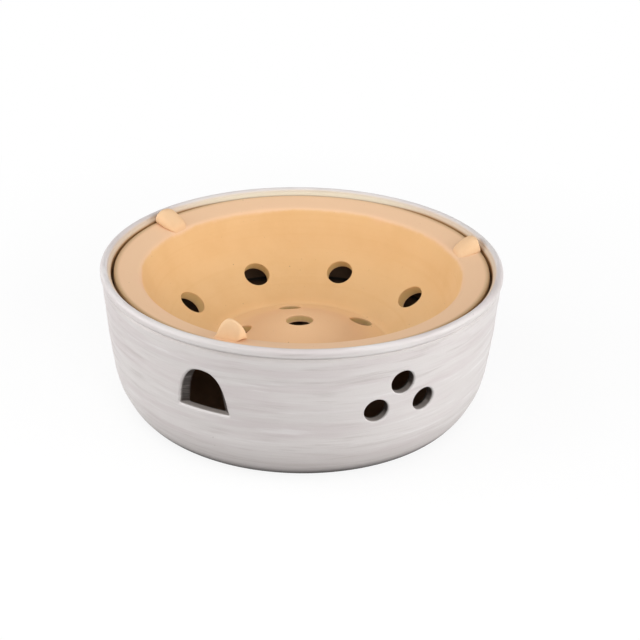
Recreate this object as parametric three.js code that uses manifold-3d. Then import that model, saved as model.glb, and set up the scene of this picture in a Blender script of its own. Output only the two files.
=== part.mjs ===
// Round table barbecue grill of fired clay: a white glazed outer bowl with draught openings, and an
// unglazed pierced fire bowl that hangs in it by its rim and carries three clay rests for a wire net.
// Millimetres, +Z up. The origin is the middle of the outer bowl's foot, on the table.

import * as THREE from "three";
import { mergeVertices } from "three/addons/utils/BufferGeometryUtils.js";
import Module from "manifold-3d";

const wasm = await Module();
wasm.setup();

// Facets round each turned piece and round each hole
const turnedFacets = 60;
const holeFacets = 20;
const beadFacets = 6;
const cornerFacets = 5;

// Clearances between pieces, and how far every cutter runs past what it cuts
const seatClearance = 0.3;
const cutOverrun = 12;

// Outer bowl
const rimDiameter = 290;
const bowlHeight = 105.3;
const beadWidth = 7.6;
const beadHeight = 6;
const grooveDepth = 0.9;
const grooveHeight = 2.6;
const shoulderInset = 1.2;
const baseDiameter = 241;
const bowlWall = 7.5;
const bowlFloor = 8;
const footWidth = 16;
const footHollow = 1.5;
const footBevel = 2;
const insideCornerHeight = 22;
const insideCornerWidth = 18;

// Ledge inside the outer bowl, which the fire bowl's rim rests on
const ledgeWidth = 9.7;
const ledgeNoseHeight = 2.6;
const ledgeSlopeHeight = 7;

// The outer bowl's side from its shoulder to its base: [share of the drop, share of the inset]
const sideShares = [
  [0.075, 0.012], [0.2055, 0.055], [0.336, 0.083], [0.4656, 0.132], [0.583, 0.187], [0.691, 0.245],
  [0.791, 0.346], [0.878, 0.5], [0.9445, 0.668], [0.9856, 0.822],
];

// Half-moon draught mouths with a flat sill, and triangles of round draught holes between them
const mouthCount = 3;
const mouthWidth = 38.2;
const mouthHeight = 29.8;
const mouthInnerWidth = 28.2;
const mouthSillHeight = 51.4;
const mouthBearing = 243;
const clusterBearing = 297.9;
const clusterHoleDiameter = 17;
const clusterSpread = 36.4;
const clusterRise = 18.1;
const clusterBaseHeight = 55.2;

// A mouth's edge from its sill to the middle of its top: [share of half the width, share of the height]
const mouthShares = [
  [1, 0], [0.962, 0.067], [0.872, 0.38], [0.788, 0.57], [0.685, 0.72], [0.54, 0.855], [0.345, 0.955],
  [0.16, 0.99], [0, 1],
];

// Fire bowl
const rimSink = 3.9;
const rimGap = 1.8;
const flangeThickness = 10;
const flangeRound = 1.6;
const bandWidth = 19.1;
const bandDrop = 4.4;
const fireWall = 8.5;
const fireFloor = 5.8;
const flangeRoot = 8.2;
const valleyRadius = 66;
const valleyDepth = 65.2;
const domeRise = 18.2;

// The fire bowl's inside from its band down to the valley round its raised floor, and from the valley
// up to the middle: [share of the way in, share of the drop or rise]
const fireWallShares = [
  [0, 0], [0.065, 0.156], [0.139, 0.313], [0.228, 0.461], [0.347, 0.587], [0.525, 0.697],
  [0.683, 0.791], [0.842, 0.888], [0.93, 0.948], [1, 1],
];
const domeShares = [
  [0.09, 0.071], [0.186, 0.165], [0.326, 0.335], [0.455, 0.516], [0.576, 0.654], [0.697, 0.775],
  [0.848, 0.907], [1, 1],
];

// Holes pierced square to the fire bowl's wall, and holes through its raised floor
const wallHoleDiameter = 20.4;
const floorHoleDiameter = 17;
const middleHoleDiameter = 20.3;
const middleHoleShift = 4.4;
const middleHoleBearing = 109;

// The holes were spaced by eye. Those in the wall: [bearing, share of the way in to the valley], and
// those in the floor: [bearing, share of the valley's radius]
const wallHoleShares = [
  [25.1, 0.485], [70.6, 0.513], [114, 0.539], [160.1, 0.554], [205.3, 0.558], [250, 0.545],
  [295, 0.515], [340, 0.491],
];
const floorHoleShares = [[33.9, 0.836], [100.3, 0.771], [171.9, 0.705], [245.5, 0.727], [320, 0.78]];

// Net rests: lumps of clay pinched onto the band by hand, so that no two are quite alike. Inset is how
// far the outer end lies in from the fire bowl's edge, and the lean share is how far the crown lies to
// the left, seen from the middle. The rounds are powers, for the left and right side, for the fall
// towards the inner end and for the ends seen from above: 1 is a plain arch, and less is squarer.
const rests = [
  {
    bearing: 248.4, inset: 6.6, length: 12.6, width: 19.6, height: 15,
    leanShare: 0.02, leftRound: 0.45, rightRound: 1.9, innerRound: 1, endRound: 0.5,
  },
  {
    bearing: 13.9, inset: 0.4, length: 16.4, width: 17, height: 9.2,
    leanShare: 0.1, leftRound: 0.5, rightRound: 1.1, innerRound: 0.6, endRound: 0.4,
  },
  {
    bearing: 144.3, inset: 0.2, length: 17.6, width: 18.6, height: 10,
    leanShare: 0, leftRound: 0.5, rightRound: 0.5, innerRound: 0.5, endRound: 0.4,
  },
];
const restFacets = 10;

// A rest from its outer end to its inner end: [share of length, share of width, share of height]
const restShares = [
  [0, 0.5, 0.3], [0.05, 0.72, 0.66], [0.16, 0.88, 0.93], [0.3, 0.97, 1], [0.5, 1, 0.8],
  [0.7, 0.94, 0.53], [0.88, 0.76, 0.27], [1, 0.46, 0.1],
];

// Sizes that follow from those above
const rimRadius = rimDiameter / 2;
const shoulderRadius = rimRadius - shoulderInset;
const shoulderHeight = bowlHeight - beadHeight - grooveHeight;
const baseRadius = baseDiameter / 2;
const mouthRadius = rimRadius - beadWidth;
const fireRadius = mouthRadius - rimGap;
const ledgeHeight = bowlHeight - rimSink - flangeThickness - seatClearance;
const ledgeRadius = mouthRadius - ledgeWidth;
const throatRadius = fireRadius - bandWidth;
const throatHeight = flangeThickness - bandDrop;
const bandSlope = bandDrop / bandWidth;
const valleyHeight = flangeThickness - valleyDepth;
const floorHeight = footHollow + bowlFloor;

const ring = (count, first) =>
  Array.from({ length: count }, (_, i) => THREE.MathUtils.degToRad(first + (360 * i) / count));

// Turns an outline of [radius, height] round the Z axis
function turned(outline) {
  const points = outline.map(([radius, height]) => new THREE.Vector2(radius, height));
  return new THREE.LatheGeometry(points, turnedFacets).rotateX(Math.PI / 2);
}

// A closed geometry as a solid, with shared corners merged and triangles without area left out
function solid(geometry) {
  const plain = geometry.clone();
  plain.deleteAttribute("normal");
  plain.deleteAttribute("uv");
  const merged = mergeVertices(plain, 1e-4);
  const places = merged.attributes.position.array;
  const corners = [];
  for (let i = 0; i < merged.index.count; i += 3) {
    const [a, b, c] = [0, 1, 2].map((k) => merged.index.getX(i + k));
    if (a !== b && b !== c && c !== a) corners.push(a, b, c);
  }
  return new wasm.Manifold(
    new wasm.Mesh({
      numProp: 3,
      vertProperties: Float32Array.from(places),
      triVerts: Uint32Array.from(corners),
    }),
  );
}

// A solid as a geometry with flat faces
function geometryOf(manifold) {
  const { vertProperties, triVerts, numProp } = manifold.getMesh();
  const places = new Float32Array(triVerts.length * 3);
  triVerts.forEach((corner, i) => {
    for (let k = 0; k < 3; k++) places[i * 3 + k] = vertProperties[corner * numProp + k];
  });
  const geometry = new THREE.BufferGeometry();
  geometry.setAttribute("position", new THREE.BufferAttribute(places, 3));
  geometry.computeVertexNormals();
  return geometry;
}

function cut(body, cutters) {
  return cutters.reduce((left, cutter) => left.subtract(solid(cutter)), solid(body));
}

// A round cutter whose axis leans from level by lean, centred at a radius, height and bearing
function drill(diameter, length, radius, height, bearing, lean) {
  return new THREE.CylinderGeometry(diameter / 2, diameter / 2, length, holeFacets)
    .rotateZ(-Math.PI / 2)
    .rotateY(-lean)
    .translate(radius, 0, height)
    .rotateZ(bearing);
}

// The radius of the outer bowl's side at a height
function sideRadius(height) {
  const drop = (shoulderHeight - height) / shoulderHeight;
  const table = [[0, 0], ...sideShares, [1, 1]];
  const next = Math.max(1, table.findIndex(([share]) => share >= drop));
  const [[d0, i0], [d1, i1]] = [table[next - 1], table[next]];
  return shoulderRadius - (shoulderRadius - baseRadius) * (i0 + ((i1 - i0) * (drop - d0)) / (d1 - d0));
}

// A half-moon cutter for a mouth at bearing zero, narrowing inwards from the outer skin
function mouthCutter(through) {
  const arch = new THREE.Shape();
  const right = mouthShares.map(([across, up]) => [(mouthWidth / 2) * across, mouthHeight * up]);
  const left = right.slice(0, -1).reverse().map(([across, up]) => [-across, up]);
  [...right, ...left].forEach(([across, up], i) => (i ? arch.lineTo(across, up) : arch.moveTo(across, up)));
  arch.closePath();
  const cutter = new THREE.ExtrudeGeometry(arch, { depth: through, bevelEnabled: false })
    .rotateX(Math.PI / 2)
    .rotateZ(Math.PI / 2)
    .translate(rimRadius + cutOverrun / 2 - through, 0, mouthSillHeight);
  const skin = sideRadius(mouthSillHeight + mouthHeight / 2);
  const places = cutter.attributes.position;
  for (let i = 0; i < places.count; i++) {
    const inwards = (skin - places.getX(i)) / bowlWall;
    places.setY(i, places.getY(i) * (1 - (1 - mouthInnerWidth / mouthWidth) * inwards));
  }
  return cutter;
}

// Outer bowl, turned from the middle of its foot up the outside, over the rim and down the inside
function outerBowl() {
  const footInner = baseRadius - footWidth;
  const outline = [
    [0, footHollow],
    [footInner - footBevel, footHollow],
    [footInner, 0],
    [baseRadius, 0],
  ];
  for (const [drop, inset] of [...sideShares].reverse())
    outline.push([
      shoulderRadius - (shoulderRadius - baseRadius) * inset,
      shoulderHeight * (1 - drop),
    ]);
  outline.push([shoulderRadius, shoulderHeight]);
  outline.push([shoulderRadius - grooveDepth, shoulderHeight + grooveHeight / 2]);
  outline.push([rimRadius, bowlHeight - beadHeight]);
  const beadRadius = beadWidth / 2;
  for (let i = 0; i <= beadFacets; i++) {
    const turn = (Math.PI * i) / beadFacets;
    outline.push([
      rimRadius - beadRadius + beadRadius * Math.cos(turn),
      bowlHeight - beadRadius + beadRadius * Math.sin(turn),
    ]);
  }
  const slopeFoot = ledgeHeight - ledgeNoseHeight - ledgeSlopeHeight;
  outline.push([mouthRadius, ledgeHeight]);
  outline.push([ledgeRadius, ledgeHeight]);
  outline.push([ledgeRadius, ledgeHeight - ledgeNoseHeight]);
  outline.push([sideRadius(slopeFoot) - bowlWall, slopeFoot]);
  const cornerTop = floorHeight + insideCornerHeight;
  const middle = (slopeFoot + cornerTop) / 2;
  outline.push([sideRadius(middle) - bowlWall, middle]);
  const cornerRadius = sideRadius(cornerTop) - bowlWall;
  for (let i = 0; i <= cornerFacets; i++) {
    const turn = (Math.PI * i) / cornerFacets / 2;
    outline.push([
      cornerRadius - insideCornerWidth * (1 - Math.cos(turn)),
      cornerTop - insideCornerHeight * Math.sin(turn),
    ]);
  }
  outline.push([0, floorHeight]);

  const through = bowlWall + ledgeWidth + cutOverrun;
  const cutters = ring(mouthCount, mouthBearing).map((bearing) => mouthCutter(through).rotateZ(bearing));
  const step = Math.atan(clusterSpread / 2 / sideRadius(clusterBaseHeight));
  for (const bearing of ring(mouthCount, clusterBearing))
    for (const [turn, rise] of [[-step, 0], [step, 0], [0, clusterRise]])
      cutters.push(
        drill(
          clusterHoleDiameter, through, rimRadius + cutOverrun / 2 - through / 2,
          clusterBaseHeight + rise, bearing + turn, 0,
        ),
      );
  return geometryOf(cut(turned(outline), cutters));
}

// The fire bowl's inside as [radius, height], from the inner edge of its band to the middle of its
// raised floor. Heights are from the underside of its flange.
const fireInside = [
  ...fireWallShares.map(([way, drop]) => [
    throatRadius - (throatRadius - valleyRadius) * way,
    throatHeight - (throatHeight - valleyHeight) * drop,
  ]),
  ...domeShares.map(([way, rise]) => [valleyRadius * (1 - way), valleyHeight + domeRise * rise]),
];

// The height of the fire bowl's inside at a radius, and how steeply it stands there, from level
function insideAt(radius) {
  const next = Math.max(1, fireInside.findIndex(([r]) => r <= radius));
  const [[r0, z0], [r1, z1]] = [fireInside[next - 1], fireInside[next]];
  const [before, after] = [fireInside[Math.max(0, next - 1)], fireInside[next + 1]];
  return {
    height: z0 + ((z1 - z0) * (radius - r0)) / (r1 - r0),
    tilt: Math.atan2(before[1] - after[1], before[0] - after[0]),
  };
}

// Fire bowl, turned from the middle of its floor's underside out to the flange, over the band and in
function fireBowl() {
  const underside = fireInside.slice(1).map(([radius, height], k) => {
    const [before, after] = [fireInside[k], fireInside[Math.min(k + 2, fireInside.length - 1)]];
    const [run, fall] = [before[0] - after[0], before[1] - after[1]];
    const long = Math.hypot(run, fall);
    const onWall = k + 1 < fireWallShares.length - 2;
    const thick = onWall ? fireWall : fireFloor;
    if (radius === 0) return [0, height - fireFloor];
    return [Math.max(0, radius + (thick * fall) / long), height - (thick * run) / long];
  });
  const outline = [
    ...underside.reverse(),
    [throatRadius + flangeRoot, 0],
    [fireRadius - flangeRound, 0],
    [fireRadius, flangeRound],
    [fireRadius, flangeThickness - flangeRound],
    [fireRadius - flangeRound, flangeThickness - flangeRound * bandSlope],
    ...fireInside,
  ];

  const reach = fireWall + cutOverrun * 2;
  const turn = THREE.MathUtils.degToRad;
  const cutters = [
    ...wallHoleShares.map(([bearing, way]) => {
      const radius = throatRadius - (throatRadius - valleyRadius) * way;
      const { height, tilt } = insideAt(radius);
      return drill(
        wallHoleDiameter, reach,
        radius + (fireWall / 2) * Math.sin(tilt), height - (fireWall / 2) * Math.cos(tilt),
        turn(bearing), tilt - Math.PI / 2,
      );
    }),
    ...floorHoleShares.map(([bearing, way]) => {
      const radius = valleyRadius * way;
      return drill(floorHoleDiameter, reach, radius, insideAt(radius).height, turn(bearing), Math.PI / 2);
    }),
    drill(
      middleHoleDiameter, reach, middleHoleShift, valleyHeight + domeRise,
      turn(middleHoleBearing), Math.PI / 2,
    ),
  ];
  return geometryOf(cut(turned(outline), cutters));
}

// Net rest: arched sections from its outer end, at x = 0, to its inner end, seated on the sloping band
function netRest(rest) {
  const { length, width, height, leanShare, leftRound, rightRound, innerRound, endRound } = rest;
  const places = [];
  const corners = [];
  for (const [along, wide, high] of restShares) {
    const x = -length * along;
    const seat = x * bandSlope;
    for (let i = 0; i <= restFacets; i++) {
      const turn = (Math.PI * i) / restFacets;
      const arch = Math.sin(turn) ** (Math.cos(turn) > 0 ? leftRound : rightRound);
      const rise = high ** innerRound * arch;
      const side = (wide ** endRound * Math.cos(turn)) / 2;
      places.push(x, width * (side + leanShare * rise), seat + height * rise);
    }
  }
  const across = restFacets + 1;
  const last = restShares.length - 1;
  for (let s = 0; s < last; s++)
    for (let i = 0; i < across; i++) {
      const [a, b] = [s * across + i, s * across + ((i + 1) % across)];
      corners.push(a, b + across, b, a, a + across, b + across);
    }
  for (let i = 1; i < restFacets; i++) {
    corners.push(0, i, i + 1);
    corners.push(last * across, last * across + i + 1, last * across + i);
  }
  const geometry = new THREE.BufferGeometry();
  geometry.setAttribute("position", new THREE.Float32BufferAttribute(places, 3));
  geometry.setIndex(corners);
  return geometryOf(solid(geometry));
}

const glaze = { color: 0xddd6d4, roughness: 0.32, metalness: 0 };
const clay = { color: 0xe3b482, roughness: 0.85, metalness: 0 };
const paleClay = { color: 0xf5cda5, roughness: 0.85, metalness: 0 };

function piece(name, geometry, look) {
  const mesh = new THREE.Mesh(geometry, new THREE.MeshStandardMaterial(look));
  mesh.name = name;
  return mesh;
}

const grill = new THREE.Group();
grill.add(piece("outer_bowl", outerBowl(), glaze));

const fire = new THREE.Group();
fire.position.z = ledgeHeight + seatClearance;
fire.add(piece("fire_bowl", fireBowl(), clay));
rests.forEach((size, i) => {
  const turn = new THREE.Group();
  turn.rotation.z = THREE.MathUtils.degToRad(size.bearing);
  const rest = piece(`net_rest_${i + 1}`, netRest(size), paleClay);
  const seat = flangeThickness - size.inset * bandSlope;
  rest.position.set(fireRadius - size.inset, 0, seat + seatClearance);
  turn.add(rest);
  fire.add(turn);
});
grill.add(fire);

export default grill;
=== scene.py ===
import math
from functools import cached_property

import bpy
import numpy as np
from bpy.props import FloatProperty, FloatVectorProperty, IntProperty, PointerProperty
from mathutils import Matrix, Vector, noise


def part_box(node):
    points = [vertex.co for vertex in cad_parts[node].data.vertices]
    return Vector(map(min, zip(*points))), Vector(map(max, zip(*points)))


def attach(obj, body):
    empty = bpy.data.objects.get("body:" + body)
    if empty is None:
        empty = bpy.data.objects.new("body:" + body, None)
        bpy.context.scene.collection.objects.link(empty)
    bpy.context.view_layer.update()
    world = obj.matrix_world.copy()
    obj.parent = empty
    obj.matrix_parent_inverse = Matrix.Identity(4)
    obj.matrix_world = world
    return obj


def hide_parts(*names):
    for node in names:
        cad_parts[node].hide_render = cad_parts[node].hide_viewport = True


bl_info = {
    "name": "Table barbecue grill",
    "version": (1, 0, 0),
    "blender": (4, 5, 0),
    "location": "View3D > Sidebar > Grill",
    "description": "Makes a glazed table grill with its fire bowl and net rests round a packed frame",
    "category": "Add Mesh",
}

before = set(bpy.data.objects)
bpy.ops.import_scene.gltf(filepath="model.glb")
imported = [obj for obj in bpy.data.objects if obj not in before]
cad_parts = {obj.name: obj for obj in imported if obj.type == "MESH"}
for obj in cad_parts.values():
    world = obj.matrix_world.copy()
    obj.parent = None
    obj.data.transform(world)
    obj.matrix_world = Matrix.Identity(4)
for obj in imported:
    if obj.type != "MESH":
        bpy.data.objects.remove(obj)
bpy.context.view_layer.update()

MM = 0.001

# How far the hand-turned skins wobble, and how high the groove under the outer bowl's rim lies
WOBBLE = 0.16 * MM
GROOVE = 96 * MM

# The bowls' highest and outermost corners in the frame
outer_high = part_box("outer_bowl")[1]
fire_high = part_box("fire_bowl")[1]

# The outer bowl's side from its shoulder to its base: share of the drop, share of the inset
SIDE = [
    (0, 0), (0.075, 0.012), (0.2055, 0.055), (0.336, 0.083), (0.4656, 0.132), (0.583, 0.187),
    (0.691, 0.245), (0.791, 0.346), (0.878, 0.5), (0.9445, 0.668), (0.9856, 0.822), (1, 1),
]

# A mouth's edge from its sill to the middle of its top: share of half the width, share of the height
MOUTH = [
    (1, 0), (0.962, 0.067), (0.872, 0.38), (0.788, 0.57), (0.685, 0.72), (0.54, 0.855), (0.345, 0.955),
    (0.16, 0.99), (0, 1),
]

# The fire bowl's inside from its band to the valley: share of the way in, share of the drop
WALL = [
    (0, 0), (0.065, 0.156), (0.139, 0.313), (0.228, 0.461), (0.347, 0.587), (0.525, 0.697),
    (0.683, 0.791), (0.842, 0.888), (0.93, 0.945), (1, 1),
]

# Its raised floor from the valley to the middle: share of the way in, share of the rise
DOME = [
    (0.09, 0.071), (0.186, 0.165), (0.326, 0.335), (0.455, 0.516), (0.576, 0.654), (0.697, 0.775),
    (0.848, 0.907), (1, 1),
]

# A net rest from its outer end to its inner end: share of length, of width and of height
REST = [
    (-0.06, 0.2, 0), (-0.03, 0.22, 0.06), (0, 0.5, 0.34), (0.05, 0.72, 0.68), (0.16, 0.88, 0.93),
    (0.3, 0.97, 1), (0.5, 1, 0.8), (0.7, 0.94, 0.53), (0.88, 0.76, 0.27), (1, 0.46, 0.1),
    (1.03, 0.3, 0.02), (1.07, 0.24, 0),
]

# Where along a net rest its arches stand, closer together at its ends
ARCHES = [
    -0.06, *np.linspace(-0.03, 0.16, 7)[:-1], *np.linspace(0.16, 0.88, 15)[:-1],
    *np.linspace(0.88, 1.03, 6), 1.07,
]
ARCH_PLACES = 34

# Within about this height, in mm, a net rest's foot is smeared out onto the band
FLARE_HEIGHT = 1.3

# Fixes the fingers' unevenness, which would else change from run to run
PINCH_SEED = 5

# The lip of a plug that cuts a hole: the angles of its rounding, how far its flare runs on over the
# skin, and how far over the skin the plug ends
LIP_ANGLES = (1.08, 0.72, 0.36, 0)
LIP_OVER, PLUG_OVER = 0.9 * MM, 4 * MM


def mm(*values):
    """Millimetres as metres"""
    return [value * MM for value in values]


# -------- outlines

def flowing(points, step):
    """A smooth line through points, with a point about every step"""
    points = [Vector(p) for p in points]
    ends = [2 * points[0] - points[1], *points, 2 * points[-1] - points[-2]]
    line = []
    for before, start, end, after in zip(ends, ends[1:], ends[2:], ends[3:]):
        knots = [0]
        for p, q in ((before, start), (start, end), (end, after)):
            knots.append(knots[-1] + max((q - p).length, 1e-9) ** 0.5)
        t0, t1, t2, t3 = knots
        pieces = max(1, round((end - start).length / step))
        for k in range(pieces):
            t = t1 + (t2 - t1) * k / pieces
            a = before.lerp(start, (t - t0) / (t1 - t0))
            b = start.lerp(end, (t - t1) / (t2 - t1))
            c = end.lerp(after, (t - t2) / (t3 - t2))
            first, second = a.lerp(b, (t - t0) / (t2 - t0)), b.lerp(c, (t - t1) / (t3 - t1))
            line.append(first.lerp(second, (t - t1) / (t2 - t1)))
    return line + [points[-1]]


def softened(corners, bends=7):
    """A line through corners of (radius, height, softness), where softness is how far from the
    corner its bend starts"""
    line = []
    for k, (radius, height, softness) in enumerate(corners):
        corner = Vector((radius, height))
        if not softness:
            line.append(corner)
            continue
        start, end = (
            corner + (Vector(corners[k + way][:2]) - corner).normalized() * softness for way in (-1, 1)
        )
        for bend in range(bends + 1):
            t = bend / bends
            line.append(start.lerp(corner, t).lerp(corner.lerp(end, t), t))
    return line


def evened(line, step):
    """The same line with its long stretches divided into steps and its doubled points left out"""
    made = [line[0]]
    for start, end in zip(line, line[1:]):
        run = (end - start).length
        if run < 0.02 * MM:
            continue
        pieces = max(1, math.ceil(run / step - 1e-6))
        made += [start.lerp(end, (k + 1) / pieces) for k in range(pieces)]
    return made


def table(rows, start, end, other_start, other_end):
    """Rows of shares as places: the first share from start to end, the second likewise"""
    return [(start + (end - start) * a, other_start + (other_end - other_start) * b) for a, b in rows]


def along(line, at, axis=0):
    """The other coordinate of a line where its coordinate on the axis is at"""
    xs = np.array([p[axis] for p in line])
    ys = np.array([p[1 - axis] for p in line])
    order = np.argsort(xs)
    return float(np.interp(at, xs[order], ys[order]))


# -------- meshes

def mesh_object(name, places, faces):
    """A new object with a mesh of these places and faces"""
    mesh = bpy.data.meshes.new(name)
    mesh.from_pydata([tuple(p) for p in places], [], faces)
    if mesh.validate():
        raise RuntimeError(f"the mesh of {name} had faults")
    made = bpy.data.objects.new(name, mesh)
    bpy.context.scene.collection.objects.link(made)
    return made


def turned(outline, turns, waver):
    """Places and faces of an outline of (radius, height) turned round the upright axis. waver moves
    each place out by what it gives for a radius, a height and a bearing."""
    places, faces, rows = [], [], []
    for radius, height in outline:
        if radius < 1e-6:
            rows.append([len(places)])
            places.append((0, 0, height))
            continue
        rows.append(range(len(places), len(places) + turns))
        for k in range(turns):
            bearing = math.tau * k / turns
            out = radius + waver(radius, height, bearing)
            places.append((out * math.cos(bearing), out * math.sin(bearing), height))
    for low, high in zip(rows, rows[1:]):
        for k in range(turns):
            ring = [low[k % len(low)], low[(k + 1) % len(low)]]
            ring += [high[(k + 1) % len(high)], high[k % len(high)]]
            faces.append([v for i, v in enumerate(ring) if v not in ring[:i]])
    return places, faces


def ring_faces(rings, across):
    """Faces between so many rings of places, each with so many places across"""
    faces = []
    for k in range(rings - 1):
        for i in range(across):
            a, b = k * across + i, k * across + (i + 1) % across
            faces.append([a, a + across, b + across, b])
    return faces


def round_edge(diameter, points=44):
    """The edge of a round hole, as places across and up"""
    return [
        Vector((math.cos(math.tau * k / points), math.sin(math.tau * k / points))) * diameter / 2
        for k in range(points)
    ]


def half_moon_edge(width, height, corner):
    """The edge of a half-moon mouth on a flat sill, anticlockwise, with soft corners"""
    right = [(width / 2 * across, height * up) for across, up in MOUTH]
    arch = flowing(right + [(-across, up) for across, up in right[-2::-1]], 1.7 * MM)
    arch = [place for place in arch if place.y > corner]
    start, bend = Vector((width / 2 - corner, 0)), Vector((width / 2, 0))
    foot = [start.lerp(bend, t).lerp(bend.lerp(arch[0], t), t) for t in (0, 0.2, 0.4, 0.6, 0.8)]
    other = [Vector((-place.x, place.y)) for place in reversed(foot)]
    sill = [Vector((start.x * part, 0)) for part in (-0.8, -0.6, -0.4, -0.2, 0, 0.2, 0.4, 0.6, 0.8)]
    return foot + arch + other + sill


def spread(edge, offset):
    """An edge moved out by an offset"""
    moved = []
    for k, place in enumerate(edge):
        run = edge[(k + 1) % len(edge)] - edge[k - 1]
        moved.append(place + Vector((run.y, -run.x)).normalized() * offset)
    return moved


def cutter(edge, near, far, seat, near_softness, far_softness, taper=1.0):
    """Places and faces of a plug that cuts a hole with softened lips. near and far give how high
    along the plug the two skins lie at a place of the edge, seat puts the plug in the piece, and
    taper is how much of the width is left at the far skin."""
    rings = []
    for skin, softness, side in ((near, near_softness, 1), (far, far_softness, -1)):
        lip = [(softness * (1 - math.cos(a)), softness * (1 - math.sin(a))) for a in LIP_ANGLES]
        over = (lip[0][1] + LIP_OVER) / math.cos(LIP_ANGLES[0])
        lip.insert(0, (lip[0][0] + over * math.sin(LIP_ANGLES[0]), -LIP_OVER))
        lip.insert(0, (lip[0][0], -PLUG_OVER))
        shape = [Vector((p.x * (1 if side > 0 else taper), p.y)) for p in edge]
        made = [
            [Vector((*place, skin(*place) - side * depth)) for place in spread(shape, offset)]
            for offset, depth in lip
        ]
        rings = rings + made if side > 0 else rings + [None] + made[::-1]
    gap = rings.index(None)
    above, below = rings[gap - 1], rings[gap + 1]
    rings[gap : gap + 1] = [[p.lerp(q, t) for p, q in zip(above, below)] for t in (0.2, 0.4, 0.6, 0.8)]
    places = [seat @ place for ring in rings for place in ring]
    across = len(edge)
    faces = ring_faces(len(rings), across)
    for first, flip in ((0, False), ((len(rings) - 1) * across, True)):
        middle = len(places)
        ring = places[first : first + across]
        places.append(sum(ring, Vector()) / across)
        for i in range(across):
            face = [first + i, first + (i + 1) % across, middle]
            faces.append(face[::-1] if flip else face)
    return places, faces


def upright(bearing):
    """Seats a level plug: across, up and along become the bowl's own directions at a bearing"""
    out = Vector((math.cos(bearing), math.sin(bearing), 0))
    side = Vector((-math.sin(bearing), math.cos(bearing), 0))
    return Matrix((side, Vector((0, 0, 1)), out)).transposed().to_4x4()


def pierce(piece, cutters):
    """Cuts every cutter's hole in a piece"""
    places, faces = [], []
    for more, round_it in cutters:
        faces += [[v + len(places) for v in face] for face in round_it]
        places += more
    plugs = mesh_object("plugs", places, faces)
    cut = piece.modifiers.new("holes", "BOOLEAN")
    cut.operation, cut.solver, cut.object = "DIFFERENCE", "MANIFOLD", plugs
    finished = bpy.data.meshes.new_from_object(
        piece.evaluated_get(bpy.context.evaluated_depsgraph_get())
    )
    if len(finished.polygons) <= len(piece.data.polygons) // 2:
        raise RuntimeError(f"the holes of {piece.name} could not be cut")
    piece.modifiers.clear()
    piece.data = finished
    bpy.data.objects.remove(plugs)


def depth_under(places, line):
    """How far each place lies from an outline of (radius, height)"""
    flat = np.c_[np.hypot(places[:, 0], places[:, 1]), places[:, 2]]
    start = np.array([tuple(p) for p in line[:-1]])
    run = np.array([tuple(p) for p in line[1:]]) - start
    long = np.maximum((run**2).sum(1), 1e-12)  # a doubled point's run is no longer than nothing
    found, batch = np.zeros(len(flat)), 4000
    for first in range(0, len(flat), batch):
        here = flat[first : first + batch, None, :] - start
        t = np.clip((here * run).sum(2) / long, 0, 1)
        found[first : first + batch] = np.sqrt((((here - t[..., None] * run) ** 2).sum(2)).min(1))
    return found


def note(piece, name, values):
    """Keeps one number for each place of a piece's mesh, for its finish"""
    piece.data.attributes.new(name, "FLOAT", "POINT").data.foreach_set(
        "value", np.ascontiguousarray(values, np.float32)
    )


def places_of(piece):
    """The places of a piece's mesh, one row each"""
    co = np.zeros(len(piece.data.vertices) * 3, np.float32)
    piece.data.vertices.foreach_get("co", co)
    return co.reshape(-1, 3).astype(float)


def finish_piece(piece, material, body, slot, *nodes):
    """Shades a piece smooth, gives it its finish, and puts it in the frame for its CAD nodes"""
    piece.data.shade_smooth()
    piece.data.materials.clear()
    piece.data.materials.append(material)
    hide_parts(*nodes)
    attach(piece, body)


def fresh(*names):
    """Takes away earlier pieces of these names"""
    for name in names:
        if name in bpy.data.objects:
            bpy.data.objects.remove(bpy.data.objects[name])


# -------- finishes

class Wire:
    """A value on its way through a finish, so that shader sums read as sums"""

    def __init__(self, finish, socket):
        self.finish, self.socket = finish, socket

    def sum(self, operation, first, second):
        return self.finish.node("ShaderNodeMath", {"operation": operation}, {0: first, 1: second})

    def __add__(self, other):
        return self.sum("ADD", self, other)

    def __radd__(self, other):
        return self.sum("ADD", other, self)

    def __sub__(self, other):
        return self.sum("SUBTRACT", self, other)

    def __rsub__(self, other):
        return self.sum("SUBTRACT", other, self)

    def __mul__(self, other):
        return self.sum("MULTIPLY", self, other)

    def __rmul__(self, other):
        return self.sum("MULTIPLY", other, self)


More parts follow.
